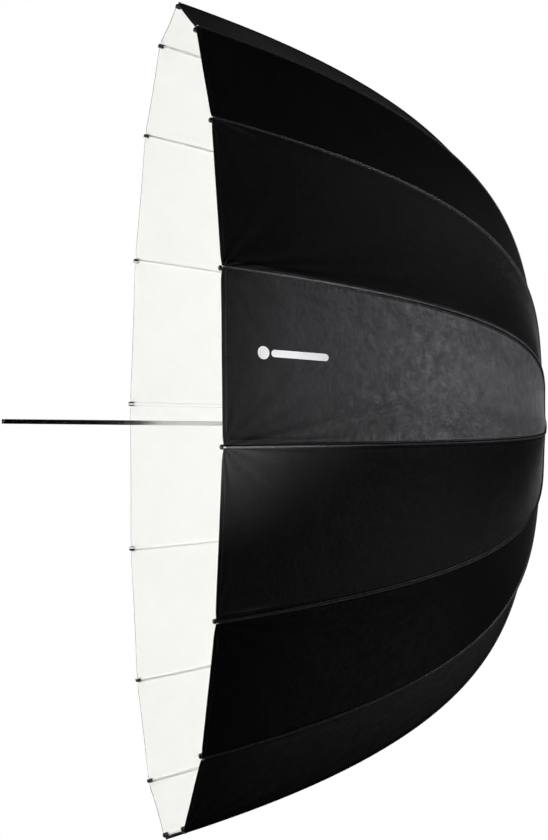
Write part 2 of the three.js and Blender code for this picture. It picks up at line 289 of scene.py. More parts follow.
def gathered(parts):
    """Joins (points, faces, material number) parts into one set."""
    points, faces, index, start = [], [], [], 0
    for p, f, m in parts:
        points.append(np.asarray(p))
        faces += [tuple(start + v for v in face) for face in f]
        index += [m] * len(f)
        start += len(p)
    return np.concatenate(points), faces, index


def ride(obj, body, slot, *nodes):
    """Hangs a piece on a body, in place of the nodes named."""
    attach(obj, body)
    if nodes:
        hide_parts(*nodes)
    return obj


# ---------------------------------------------------------------- the rib's curve

CROWN_SLOPE = math.radians(75)
RIM_SLOPE = math.radians(17.6)
CROWN = np.array([759 * MM, PIVOT_RADIUS + RIB_INSET * math.cos(CROWN_SLOPE)])
RIM = np.array([193, 625]) * MM
HANDLES = np.array([
    CROWN,
    CROWN + 253 * MM * np.array([-math.cos(CROWN_SLOPE), math.sin(CROWN_SLOPE)]),
    RIM - 583 * MM * np.array([-math.cos(RIM_SLOPE), math.sin(RIM_SLOPE)]),
    RIM,
])
HOLE = np.array([759.4, 5]) * MM  # edge of the cloth's hole under the cap


def curve(t):
    t = np.asarray(t, float)[..., None]
    a, b, c, d = HANDLES
    point = (1 - t) ** 3 * a + 3 * (1 - t) ** 2 * t * b + 3 * (1 - t) * t ** 2 * c + t ** 3 * d
    along = (1 - t) ** 2 * (b - a) + 2 * (1 - t) * t * (c - b) + t ** 2 * (d - c)
    return point, along / np.linalg.norm(along, axis=-1, keepdims=True)


CURVE_T = np.linspace(0, 1, 3001)
CURVE_S = np.concatenate([[0], np.cumsum(np.linalg.norm(np.diff(curve(CURVE_T)[0], axis=0), axis=1))])
LENGTH = float(CURVE_S[-1])
ELBOW_S = float(np.interp(ELBOW_AT, CURVE_T, CURVE_S))
HOLE_S = -float(np.linalg.norm(HOLE - CROWN))


def t_at(s):
    return float(np.interp(s, CURVE_S, CURVE_T))


def at_length(s):
    """Point (x, radius) and direction at s from the crown along a rib. Below zero it runs in to the hole."""
    s = np.asarray(s, float)
    point, along = curve(np.interp(s, CURVE_S, CURVE_T))
    into = (CROWN - HOLE) / HOLE_S
    point = np.where(s[..., None] < 0, CROWN - s[..., None] * into, point)
    turn = np.clip(0.5 - s / (6 * MM), 0, 1)[..., None]
    along = along * (1 - turn) - into * turn
    return point, along / np.linalg.norm(along, axis=-1, keepdims=True)


def below(t, depth):
    """Point of the rib's plane under the cloth, and the direction towards the rim."""
    point, along = curve(t)
    return point + depth * np.stack([-along[..., 1], along[..., 0]], -1), along


# ---------------------------------------------------------------- the cloth's surface

SEAM_HALF = 3.4 * MM
SEAM_FULL = 16 * MM  # half width of a gore above which its seam has its full size
HEM_WIDTH = 7.5 * MM
HEM_STITCH = 5.5 * MM  # from the edge
SAG = 4.2 * MM
LINING_DEPTH = 0.75 * MM
STITCH_PITCH = 3.4 * MM
STITCH_HALF = 1.25 * MM


def smooth(x):
    x = np.clip(x, 0, 1)
    return x * x * (3 - 2 * x)


def bell(x, width):
    return np.exp(-(x / width) ** 2)


def half_width(s):
    """Half the width of a gore at s from the crown."""
    return at_length(s)[0][..., 1] * math.sin(HALF_GORE)


def seam_scale(half):
    return np.minimum(1, half / SEAM_FULL)


def gore_facts():
    """What makes each gore's folds its own. The fourth phase of the waves is a spare one."""
    draw = np.random.default_rng(7)
    facts = []
    for _ in range(RIBS):
        facts.append({
            "fan": draw.uniform(0, 2 * math.pi, (2, 3)),
            "fan_size": draw.uniform(0.7, 1.2, 2),
            "tuck": draw.uniform([0.05, 0.11], [0.08, 0.19], (2, 2)),
            "wave": draw.uniform(0, 2 * math.pi, 7),
        })
    return facts


GORES = gore_facts()


def folds(gore, w, half, s):
    """How far the taut cloth of a gore stands out at w across from its middle and s from the crown."""
    fact = GORES[gore % RIBS]
    out = np.zeros(np.broadcast(w, s).shape)
    up = np.clip(LENGTH - s, 0, None)
    for corner, sign in enumerate((-1, 1)):  # creases that fan out from the two sewn corners
        beside = np.clip(half - sign * w, 0, None)
        far = np.hypot(beside, up) + 1e-9
        angle = np.arctan2(beside, up)
        phase = fact["fan"][corner]
        fan = 0.6 * np.cos(13 * angle + phase[0]) + 0.4 * np.cos(22 * angle + phase[1])
        fan = fan + 0.25 * np.cos(37 * angle + phase[2])
        reach = far / (far + 8 * MM) * np.exp(-far / (55 * MM)) * smooth(angle / 0.25)
        out = out + 1.3 * MM * fact["fan_size"][corner] * fan * reach
        for place in fact["tuck"][corner]:
            tuck = bell(angle - place, 0.018 + 2.2 * MM / far)
            out = out + 1.2 * MM * tuck * smooth(far / (40 * MM)) * np.exp(-far / (110 * MM))
    p = fact["wave"]
    calm = smooth(s / 0.2) * smooth((half - np.abs(w)) / (25 * MM))
    waves = (
        np.sin(2 * math.pi * (s / 0.13 + 0.4 * np.sin(w / 0.04 + p[4])) + p[0])
        + 0.6 * np.sin(2 * math.pi * (s / 0.062 + w / 0.31 + 0.3 * np.sin(s / 0.05 + p[5])) + p[1])
        + 0.35 * np.sin(2 * math.pi * (s / 0.21 - w / 0.087 + 0.3 * np.sin(s / 0.09 + p[6])) + p[2])
    )
    return out + calm * 0.10 * MM * waves


def seam_height(d, scale, edge):
    """How far a seam lifts the cloth at d across it. Its allowance is pressed to one side, so that each gore
    laps a little over the one before it, and near the tip its edge shows through as a low ridge."""
    d = d / (MM * scale)
    lap = smooth((d + 2.1) / 0.5) * (1.0 + 0.42 * np.clip(-d, 0, 1.6))
    fall = 1 - smooth((d - 0.4) / 2.0)
    dip = 0.2 * bell(d - 5.4, 1.3) + 0.55 * bell(d + 3.5, 1.1)
    ridge = 0.7 * bell(d + 9.5, 1.4) * smooth(1 - edge / 0.2) * smooth(edge / 0.02)
    return (np.where(d < 0, lap, fall) - dip + ridge) * MM * scale


def cloth(rib, s, d, depth=0.0, lining=False):
    """The canopy at s from the crown along a rib and d across it. d is signed and stops at the middle of each
    gore. Gives points, normals and the direction towards the rim, then the distances across the gore from its
    middle, from the seam, and between the two."""
    s, d = np.broadcast_arrays(np.asarray(s, float), np.asarray(d, float))
    point, along = at_length(s)
    x, radius, ax, ar = point[..., 0], point[..., 1], along[..., 0], along[..., 1]
    half = half_width(s)
    side = np.where(d < 0, -1.0, 1.0)
    beside = np.minimum(np.abs(d), half)
    scale = seam_scale(half)
    cos_b, sin_b = math.cos(HALF_GORE), math.sin(HALF_GORE)
    base = np.stack([x, side * beside * cos_b, radius - beside * sin_b], -1)
    rib_normal = np.stack([ar, 0 * ar, -ax], -1)
    size = np.hypot(ar * cos_b, ax)
    gx, gm = ar * cos_b / size, -ax / size
    gore_normal = np.stack([gx, gm * side * sin_b, gm * cos_b], -1)
    turn = smooth(beside / (SEAM_HALF * scale))[..., None]
    normal = rib_normal * (1 - turn) + gore_normal * turn
    normal /= np.linalg.norm(normal, axis=-1, keepdims=True)
    rimward = np.stack([-gm, gx * side * sin_b, gx * cos_b], -1)

    share = beside / half
    parabola = share * (2 - share)
    edge = LENGTH - s
    height = -SAG * smooth(s / 0.28) * (1 - 0.4 * smooth((s - 0.55) / 0.35)) * parabola - depth
    across = side * (beside - half)
    creases = np.where(side > 0, folds(rib, across, half, s), folds(rib - 1, across, half, s))
    creases = creases * smooth(beside / (6 * MM * scale))
    if lining:  # it hangs clear of the creases near the tips
        clear = 1.6 * MM * np.exp(-np.hypot(beside, edge) / (60 * MM))
        groove = 0.1 * MM * scale * bell(beside, 2.5 * MM * scale)
        height = height + 0.5 * creases - clear - groove
    else:
        hem = 0.14 * MM * smooth((HEM_WIDTH - edge) / (1.6 * MM))
        hem = (hem - 0.10 * MM * bell(edge - HEM_STITCH, 0.5 * MM)) * smooth(beside / (SEAM_HALF * scale))
        height = height + creases + seam_height(d, scale, edge) + hem
    pull = 1.4 * MM * parabola * smooth((s - (LENGTH - 0.13)) / 0.13)  # the edge runs back between the tips
    pull = pull + 1.7 * MM * bell(beside, 11 * MM) * smooth((s - (LENGTH - 0.03)) / 0.03)
    local = base + normal * height[..., None] - rimward * pull[..., None]
    placed = [turned(v * (1, -1, 1), rib) for v in (local, normal, rimward)]
    return *placed, across, beside, half


def columns(s, near, count):
    """Signed distances across a petal for each row: fine beside the seam, then even to the gore's middle."""
    half = half_width(s)
    close = np.array(near) * MM * seam_scale(half)[:, None]
    last = close[:, -1:]
    far = last + (half[:, None] - last) * np.arange(1, count + 1) / count
    positive = np.concatenate([close, far], 1)
    return np.concatenate([-positive[:, ::-1], np.zeros((len(s), 1)), positive], 1)


def grid_faces(rows, cols, flip=False):
    i, j = np.meshgrid(np.arange(rows - 1), np.arange(cols - 1), indexing="ij")
    a = (i * cols + j).ravel()
    quads = np.stack([a, a + 1, a + cols + 1, a + cols], 1)
    return quads[:, ::-1] if flip else quads


def stitch_row(rib, s, d, step_s, step_d):
    """Short raised stitches at places (s, d), each running along (step_s, step_d) for its half length."""
    size = 0.34 * MM
    ends = [cloth(rib, s + k * step_s, d + k * step_d) for k in (-1.0, 0.0, 1.0)]
    first, middle, last = (e[0] for e in ends)
    normal = ends[1][1]
    along = last - first
    along = along / np.linalg.norm(along, axis=-1, keepdims=True)
    wide = np.cross(along, normal)
    ring = [middle + size * way for way in (1.15 * normal, wide, -0.6 * normal, -wide)]
    sunk = normal * size * 0.3
    points = np.stack([first - sunk, *ring, last - sunk], 1)
    start = np.arange(len(s))[:, None] * points.shape[1]
    faces = []
    for k in range(4):
        a, b = 1 + k, 1 + (k + 1) % 4
        faces.append(np.concatenate([start, start + b, start + a], 1))
        faces.append(np.concatenate([start + 5, start + a, start + b], 1))
    return points.reshape(-1, 3), np.concatenate(faces)


def seam_stitches(rib, s):
    """Two rows of stitches beside the rib, one on each side of the seam."""
    places = np.arange(s[0] + STITCH_PITCH, min(s[-1], LENGTH - 6 * MM), STITCH_PITCH)
    scale = seam_scale(half_width(places))
    places, scale = places[scale > 0.45], scale[scale > 0.45]
    return [stitch_row(rib, places, offset * MM * scale, STITCH_HALF, 0.0) for offset in (-1.3, 1.7)]


def hem_stitches(rib, reach):
    """One row of stitches along the hem on each side of the rib."""
    places = np.arange(6 * MM, reach - 1.2 * MM, STITCH_PITCH)
    at = np.full(len(places), LENGTH - HEM_STITCH)
    return [stitch_row(rib, at, sign * places, 0.0, STITCH_HALF) for sign in (-1, 1)]


def petal(name, rib, s, near, count, lining, materials):
    """One rib's share of the canopy, from mid-gore to mid-gore, as a mesh with metric UVs."""
    d = columns(s, near, count)
    rows, cols = d.shape
    depth = LINING_DEPTH if lining else 0.0
    points, normal, rimward, across, beside, half = cloth(rib, s[:, None], d, depth, lining)
    length = np.repeat(s[:, None], cols, 1)
    at_rim = not lining and s[-1] > LENGTH - 1e-9
    if at_rim:  # the cloth turns round the hem's edge and shows a little inside
        bend = 0.5 * MM
        turn = [(bend * math.sin(a), bend * (1 - math.cos(a))) for a in np.radians([40, 80, 120, 160, 180])]
        for out, down in turn + [(-0.9 * MM, 2 * bend)]:
            row = points[rows - 1] + rimward[-1] * out - normal[-1] * down
            points = np.concatenate([points, row[None]])
            length = np.concatenate([length, np.full((1, cols), LENGTH + 2 * MM)])
            across, beside, half = (np.concatenate([v, v[rows - 1:rows]]) for v in (across, beside, half))

    quads = grid_faces(len(points), cols, flip=lining)
    column, row = quads % cols, quads // cols
    middle = cols // 2
    left = (column < middle).any(1)[:, None]
    at_seam = np.where(left, half[row, column], -half[row, column])
    u = np.where(column == middle, at_seam, across[row, column])
    uv = np.stack([u, length[row, column]], -1)
    all_points, all_faces, index = points.reshape(-1, 3), quads.tolist(), [0] * len(quads)
    edge = np.stack([beside.ravel(), (LENGTH - length).ravel(), (half - beside).ravel()], 1)
    sewn = [] if lining else seam_stitches(rib, s)
    if at_rim:
        sewn += hem_stitches(rib, float(half[-1, 0]))
    for p, f in sewn:
        all_faces += (f + len(all_points)).tolist()
        all_points = np.concatenate([all_points, p])
        index += [1] * len(f)
        edge = np.concatenate([edge, np.full((len(p), 3), 0.05)])
    mesh = new_mesh(name, all_points, all_faces, materials, index)
    flat = np.zeros((len(mesh.loops), 2), np.float32)
    flat[:uv.size // 2] = uv.reshape(-1, 2)
    mesh.uv_layers.new(name="cloth").data.foreach_set("uv", flat.ravel())
    attribute = mesh.attributes.new("edge", "FLOAT_VECTOR", "POINT")
    attribute.data.foreach_set("vector", edge.astype(np.float32).ravel())
    return mesh


# ---------------------------------------------------------------- materials


def cloth_places(n):
    """The cloth's own coordinates, the distances from its seam and its hem, and the place on the piece."""
    vector = n("ShaderNodeAttribute", attribute_name="edge").outputs["Vector"]
    edge = n("ShaderNodeSeparateXYZ", {0: vector})
    return n("ShaderNodeUVMap", uv_map="cloth").outputs[0], edge.outputs[0], edge.outputs[1], n.place()


def weave(n, uv, pitch):
    flat = n("ShaderNodeSeparateXYZ", {0: uv})
    warp, weft = (n.math("SINE", n.times(flat.outputs[k], 2 * math.pi / pitch)) for k in (0, 1))
    return n.times(warp, weft)


def cloth_black(n):
    """Satin with slubs and a painted highlight along each seam's crest, puckered beside the seams and
    gathered at the hem.
    """
    uv, from_seam, from_hem, place = cloth_places(n)
    slubs = n.plus(n.noise(uv, (900, 55, 1), 2.0, 0.6), n.noise(uv, (55, 900, 1), 2.0, 0.6))
    crumple = n.noise(place, 26, 4.0, 0.6)
    cloud = n.noise(place, 9, 3.0, 0.5)
    mottle = n.noise(place, 150, 3.0, 0.65)
    blotch = n.noise(place, 70, 4.0, 0.7)
    pucker = n.times(n.noise(uv, (28, 130, 1), 2.0, 0.5), n.ramp(from_seam, 3.2 * MM, 22 * MM, 1.0, 0.0))
    gathers = n.times(n.noise(uv, (130, 28, 1), 2.0, 0.5), n.ramp(from_hem, 5 * MM, 18 * MM, 1.0, 0.0))
    normal = n.bump(crumple, 1.2 * MM, 0.6)
    normal = n.bump(mottle, 0.8 * MM, 0.4, normal)
    normal = n.bump(n.plus(pucker, gathers), 0.9 * MM, 0.6, normal)
    normal = n.bump(slubs, 0.03 * MM, 0.5, normal)
    normal = n.bump(weave(n, uv, 0.62 * MM), 0.012 * MM, 0.5, normal)
    tone = n.ramp(n.shares(slubs, 0.35, cloud, 0.6), 0.3, 0.95)
    colour = n.mix_colour(tone, (0.0022, 0.0022, 0.0027), (0.0048, 0.0048, 0.0057))
    # Painted highlight: a light grey line along each seam's crest, in place of the light that the crest
    # catches.
    crest_highlight = n.times(n.ramp(from_seam, 0.4 * MM, 1.1 * MM, 1.0, 0.0), n.ramp(mottle, 0.3, 0.7, 0.6, 1.0))
    rough = n.ramp(n.shares(blotch, 0.7, slubs, 0.15), 0.3, 0.7, 0.36, 0.50)
    duller = n.ramp(from_hem, 5 * MM, 120 * MM, 0.19, 0.0)
    return {
        "Base Color": n.mix_colour(crest_highlight, colour, (0.17, 0.17, 0.18)),
        "Roughness": n.plus(rough, duller),
        "Normal": normal,
        "Tangent": n("ShaderNodeTangent", direction_type="UV_MAP", uv_map="cloth").outputs[0],
    }


def lining_white(n):
    """Matt white cloth, with painted shade in the fold at its seams."""
    uv, from_seam, _, place = cloth_places(n)
    slubs = n.plus(n.noise(uv, (700, 50, 1), 2.0, 0.6), n.noise(uv, (50, 700, 1), 2.0, 0.6))
    crumple = n.noise(place, 24, 3.0, 0.55)
    pucker = n.times(n.noise(uv, (28, 130, 1), 2.0, 0.5), n.ramp(from_seam, 3 * MM, 20 * MM, 1.0, 0.0))
    normal = n.bump(crumple, 0.5 * MM, 0.3)
    normal = n.bump(pucker, 0.6 * MM, 0.4, normal)
    normal = n.bump(n.plus(n.times(weave(n, uv, 0.7 * MM), 0.3), slubs), 0.08 * MM, 0.5, normal)
    tone = n.ramp(n.shares(slubs, 0.3, crumple, 0.4), 0.3, 0.7)
    colour = n.mix_colour(tone, (0.838, 0.836, 0.815), (0.866, 0.865, 0.848))
    # Painted shade: a darker grey beside each seam, where the fold lies in shadow.
    painted_seam_shade = n.ramp(from_seam, 0.8 * MM, 3.0 * MM, 0.05, 0.0)
    return {
        "Base Color": n.mix_colour(painted_seam_shade, colour, (0.76, 0.75, 0.71)),
        "Roughness": n.ramp(slubs, 0.6, 1.4, 0.5, 0.66),
        "Normal": normal,
    }


def thread(low, high):
    def look(n):
        ply = n.noise(n.place(), 1800, 2.0, 0.6)
        return {
            "Base Color": n.mix_colour(ply, low, high),
            "Roughness": n.ramp(ply, 0.2, 0.8, 0.42, 0.6),
            "Normal": n.bump(ply, 0.1 * MM, 0.6),
        }
    return look


def fibre(n):
    place = n.place()
    strands = n.noise(place, 420, 3.0, 0.6)
    cloud = n.noise(place, 60, 2.0, 0.5)
    tone = n.ramp(n.shares(strands, 0.6, cloud, 0.4), 0.35, 0.65)
    return {
        "Base Color": n.mix_colour(tone, (0.90, 0.90, 0.88), (0.94, 0.94, 0.92)),
        "Roughness": n.ramp(strands, 0.3, 0.7, 0.32, 0.46),
        "Normal": n.bump(strands, 0.12 * MM, 0.4),
    }


def metal(light, dark, low, high, grain):
    """Bare metal with draw lines, light tarnish and small scratches."""
    def look(n):
        place = n.place()
        lines = n.noise(place, grain, 3.0, 0.6)
        tarnish = n.noise(place, 160, 4.0, 0.6)
        return {
            "Base Color": n.mix_colour(n.ramp(tarnish, 0.4, 0.72), light, dark),
            "Roughness": n.ramp(n.shares(lines, 0.5, tarnish, 0.5), 0.35, 0.68, low, high),
            "Normal": n.bump(lines, 0.01 * MM, 0.3),
        }
    return look


def cast(n):
    place = n.place()
    grain = n.noise(place, 1400, 3.0, 0.6)
    patch = n.noise(place, 90, 3.0, 0.55)
    return {
        "Base Color": n.mix_colour(n.ramp(patch, 0.35, 0.7), (0.42, 0.42, 0.43), (0.29, 0.29, 0.30)),
        "Roughness": n.ramp(n.shares(grain, 0.4, patch, 0.6), 0.3, 0.7, 0.34, 0.52),
        "Normal": n.bump(grain, 0.06 * MM, 0.5),
    }


def plastic(base, rubbed, low, high):
    def look(n):
        place = n.place()
        grain = n.noise(place, 1600, 2.0, 0.6)
        rub = n.noise(place, 130, 4.0, 0.6)
        return {
            "Base Color": n.mix_colour(n.ramp(rub, 0.5, 0.78), base, rubbed),
            "Roughness": n.ramp(n.shares(grain, 0.3, rub, 0.7), 0.3, 0.7, low, high),
            "Normal": n.bump(grain, 0.05 * MM, 0.5),
        }
    return look


def print_white(n):
    ink = n.noise(n.place(), 900, 3.0, 0.6)
    return {
        "Base Color": n.mix_colour(n.ramp(ink, 0.4, 0.75), (0.88, 0.88, 0.88), (0.78, 0.78, 0.79)),
        "Roughness": n.ramp(ink, 0.3, 0.7, 0.5, 0.65),
        "Normal": n.bump(ink, 0.05 * MM, 0.4),
    }


DRAWN = (30, 900, 900)  # lines along X
SATIN = {"Specular_IOR_Level": 0.5, "Anisotropic": 0.6, "Anisotropic_Rotation": 0.25}
BARE = {"Metallic": 1.0}
MATERIALS = {name: material(name, look, **constants) for name, look, constants in (
    ("cloth_black", cloth_black, SATIN),
    ("lining_white", lining_white, {"Specular_IOR_Level": 0.35}),
    ("thread_dark", thread((0.16, 0.16, 0.163), (0.30, 0.30, 0.31)), {}),
    ("thread_white", thread((0.62, 0.61, 0.57), (0.80, 0.79, 0.75)), {}),
    ("rib_fibre", fibre, {}),
    ("shaft_steel", metal((0.60, 0.60, 0.57), (0.54, 0.54, 0.51), 0.15, 0.19, DRAWN), BARE),
    ("steel_wire", metal((0.52, 0.52, 0.51), (0.36, 0.36, 0.35), 0.24, 0.40, (200, 200, 200)), BARE),
    ("cast_zinc", cast, BARE),
    ("black_plastic", plastic((0.010, 0.010, 0.011), (0.028, 0.028, 0.030), 0.34, 0.5), {}),
    ("cap_grey", plastic((0.14, 0.14, 0.145), (0.20, 0.20, 0.205), 0.36, 0.52), {}),
    ("print_white", print_white, {}),
)}

# ---------------------------------------------------------------- canopy pieces

# distances from the seam, in millimetres, at which a petal has points before its even part
NEAR_CLOTH = [0.7, 1.4, 2.0, 2.5, 3.0, 3.5, 4.1, 4.8, 5.8, 7.4, 8.6, 9.5, 10.8]
NEAR_LINING = [1.2, 2.4, 3.6, 5.0, 8.0]
# distances from the edge of the rows at the hem
HEM_ROWS = np.array([14, 11, 9, 8, 7.4, 6.9, 6.3, 5.9, 5.5, 5.1, 4.6, 3.4, 2.2, 1.1, 0.4, 0]) * MM
LINING_ROWS = np.array([12, 8, 4, 0.2]) * MM


def rows_inner(step):
    crown = [HOLE_S, HOLE_S / 2, 0, 3 * MM, 7 * MM, 12 * MM, 18 * MM, 25 * MM]
    count = max(2, round((ELBOW_S - crown[-1]) / step))
    return np.concatenate([crown, np.linspace(crown[-1], ELBOW_S, count + 1)[1:]])


def rows_outer(step, hem):
    start = LENGTH - hem[0]
    count = max(2, round((start - ELBOW_S) / step))
    return np.concatenate([np.linspace(ELBOW_S, start, count + 1), LENGTH - hem[1:]])


def pleat(obj):
    """Gives a soft piece its own copy of its mesh."""
    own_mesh(obj)


def declare_sheet(s, rests_on):
    """Works out a petal's width at each row, which is its gore's, and does nothing more with it."""
    width = 2 * half_width(s)


CLOTH_LOOKS = ("cloth_black", "thread_dark")
PETALS = (  # part, kind, looks, rows, points beside the seam, even columns on each side
    ("inner", "cloth", CLOTH_LOOKS, rows_inner(6.5 * MM), NEAR_CLOTH, 10),
    ("inner", "lining", ("lining_white",), rows_inner(11 * MM), NEAR_LINING, 6),
    ("outer", "cloth", CLOTH_LOOKS, rows_outer(5.5 * MM, HEM_ROWS), NEAR_CLOTH, 20),
    ("outer", "lining", ("lining_white",), rows_outer(11 * MM, LINING_ROWS), NEAR_LINING, 10),
)
for rib in range(RIBS):
    number = f"{rib + 1:02d}"
    for part, kind, looks, s, near, count in PETALS:
        name, body = f"{kind}_{part}_{number}", f"rib_{part}_{number}"
        mesh = petal(name, rib, s, near, count, kind == "lining", [MATERIALS[look] for look in looks])
        obj = ride(new_object(name, mesh), body, looks[0], "canopy")
        pleat(obj)
        declare_sheet(s, body)

# ---------------------------------------------------------------- ribs, clips, tips and stretchers
# They are made at angle 0, in the XZ plane, and turned round X to their places.

CROWN_PIVOT = below(0.0, RIB_INSET)[0]
ELBOW, ELBOW_ALONG = below(ELBOW_AT, RIB_INSET)
CLIP_PIVOT = below(ELBOW_AT, RIB_INSET + CLIP_DROP)[0]
RUNNER_PIVOT = np.array([2 * CLIP_PIVOT[0] - CROWN_PIVOT[0], PIVOT_RADIUS])
Y = np.array([0.0, 1.0, 0.0])


def deep(p):
    """Points (x, z) of the rib's plane as points in space."""
    return np.stack([p[..., 0], 0 * p[..., 0], p[..., 1]], -1)


def bar_along(line, wide, high, sides=14):
    """A bar along points of the rib's plane."""
    way = np.gradient(line, axis=0)
    way /= np.linalg.norm(way, axis=1, keepdims=True)
    normal = deep(np.stack([-way[:, 1], way[:, 0]], 1))
    return sweep(deep(line), np.broadcast_to(Y, (len(line), 3)), normal, wide, high, sides)


def turned_y(at, outline, segments=24):
    """A ring or disc round an axis along Y through a point of the rib's plane, from (y, radius) corners."""
    y, radius, turn = rings(outline, segments)
    points = np.stack([at[0] + radius * np.cos(turn), y, at[1] + radius * np.sin(turn)], 1)
    return points, ring_faces(len(outline), segments)


def eye(at):
    radius, half, hole, edge = 2.4 * MM, 1.2 * MM, 1.1 * MM, 0.25 * MM
    return turned_y(at, [(-half, hole), (-half, radius - edge), (-half + edge, radius), (half - edge, radius),
                         (half, radius - edge), (half, hole)])


def rivet(at):
    """A pin with a low domed head at each end."""
    half, pin, head, height = 2.6 * MM, 0.8 * MM, 1.9 * MM, 0.65 * MM
    under = half - 0.02 * MM
    up = [(under, pin), (under, head), (half, head), (half + 0.5 * height, 0.86 * head),
          (half + 0.85 * height, 0.55 * head), (half + height, 0)]
    return turned_y(at, [(-y, r) for y, r in reversed(up)] + up, 20)


def to_eye(pivot, towards, rod):
    """The flattened neck between an eye and a rod that starts 8 mm from the pivot."""
    way = (towards - pivot) / np.linalg.norm(towards - pivot)
    line = pivot + np.array([0.6, 2.2, 3.4, 4.8, 6.0, 8.0])[:, None] * MM * way
    wide = np.array([1.15, 1.15, 1.15, 1.35, rod / MM - 0.1, rod / MM]) * MM
    high = np.array([1.4, 1.55, 1.7, 1.8, rod / MM + 0.05, rod / MM]) * MM
    return bar_along(line, wide, high)


def collar(line, rod):
    """A crimped metal sleeve over a rod's end."""
    count = len(line)
    radius = np.full(count, rod + 0.35 * MM)
    radius[[0, -1]] = rod + 0.05 * MM
    radius[[count // 3, 2 * count // 3]] = rod + 0.12 * MM
    return bar_along(line, radius, radius, 18)


def rib_line(start, end, count):
    """Points of a rib's middle between two distances from the crown."""
    return below(np.linspace(t_at(start), t_at(end), count), RIB_INSET)[0]


def tie(s):
    """Thread wound round the rib and up to the lining."""
    turns, steps, thick = 3, 21, 0.24 * MM
    point, along = below(t_at(s), RIB_INSET)
    out = np.array([along[1], -along[0]])
    angle = np.linspace(0, 2 * math.pi, steps)
    loop = np.outer(np.cos(angle), Y) * 2.35 * MM + np.outer(np.sin(angle), deep(out)) * 3.5 * MM
    parts = []
    for k in range(turns):
        ring = deep(point + along * (k - (turns - 1) / 2) * 0.55 * MM + out * 1.3 * MM) + loop
        way = np.gradient(ring, axis=0)
        way[0] = way[-1] = way[0] + way[-1]
        way /= np.linalg.norm(way, axis=1, keepdims=True)
        side = np.broadcast_to(deep(along), ring.shape)
        parts.append((*sweep(ring, side, np.cross(way, side), thick, thick, 6, caps=False), 2))
    return parts


def rod(pivot, start, end, count, ties):
    """A glass-fibre rod from 7 mm past start to end, with a crimped eye on the pivot and thread ties."""
    line = rib_line(start + 7 * MM, end, count)
    parts = [(*bar_along(line, ROD_RADIUS, ROD_RADIUS), 0)]
    parts.append((*eye(pivot), 1))
    parts.append((*to_eye(pivot, line[0], ROD_RADIUS), 1))
    parts.append((*collar(rib_line(start + 6.5 * MM, start + 20 * MM, 13), ROD_RADIUS), 1))
    for s in ties:
        parts += tie(start + s)
    return parts


def inner_rod():
    return rod(CROWN_PIVOT, 0.0, ELBOW_S - 12 * MM, 36, (0.10, 0.20, 0.30, 0.40))


def outer_rod():
    return rod(ELBOW, ELBOW_S, LENGTH - 4 * MM, 30, (0.09, 0.19, 0.29))


def stretcher():
    span = RUNNER_PIVOT - CLIP_PIVOT
    length = np.linalg.norm(span)
    line = CLIP_PIVOT + np.linspace(7 * MM, length - 7 * MM, 8)[:, None] * span / length
    parts = [(*bar_along(line, STRETCHER_RADIUS, STRETCHER_RADIUS), 0)]
    for a, b in ((CLIP_PIVOT, RUNNER_PIVOT), (RUNNER_PIVOT, CLIP_PIVOT)):
        parts.append((*eye(a), 0))
        parts.append((*to_eye(a, b, STRETCHER_RADIUS), 0))
    return parts


def tip():
    """A rounded cap on the rib's end with a white tape through it, and the white bar tack that holds the
    hem. Outlines are in millimetres: the place along the rib, then the radius or the height over the rib."""
    hem, along = below(1.0, RIB_INSET)
    out = np.array([along[1], -along[0]])
    shape = [(-7.2, 2.05), (-7.1, 2.7), (-6.7, 3.2), (-6.1, 3.5), (-5.4, 3.6), (-3.2, 3.6), (-2.9, 3.35),
             (-2.3, 3.35), (-2.0, 3.6), (-0.6, 3.6), (0.3, 3.4), (1.0, 2.9), (1.5, 2.1), (1.72, 1.2),
             (1.8, 0.3)]
    at, radius = np.array(shape).T * MM
    parts = [(*bar_along(hem + at[:, None] * along, radius, radius, 24), 0)]
    axes = np.array([along, out]) * MM
    tape = [(-8.6, -2.0), (-7.6, -2.4), (-6.9, -3.3), (-5.6, -3.75), (-3, -3.8), (-0.9, -3.75), (0.5, -3.4)]
    parts.append((*bar_along(hem + np.array(tape) @ axes, 1.35 * MM, 0.3 * MM, 10), 1))
    tack = [(-4.4, 5.6), (-4.1, 7.0), (-2.8, 7.2), (-1.5, 7.0), (-1.2, 5.6)]
    points, faces = bar_along(hem + np.array(tack) @ axes, 0.24 * MM, 0.24 * MM, 6)
    for k in range(-2, 3):
        parts.append((points + Y * k * 0.36 * MM, faces, 1))
    return parts


def arc(cz, radius, start, end, count):
    return [(radius * math.cos(a), cz + radius * math.sin(a)) for a in np.linspace(start, end, count)]


def prism(name, outline, half):
    """A solid from (x, z) corners, half its thickness to each side of the rib's plane, in millimetres."""
    count = len(outline)
    points = np.array([(x, y, z) for y in (-half, half) for x, z in outline]) * MM
    faces = [tuple(range(count)), tuple(reversed(range(count, 2 * count)))]
    faces += [(k, k + count, (k + 1) % count + count, (k + 1) % count) for k in range(count)]
    return solid(name, points, faces, [MATERIALS["cast_zinc"]])


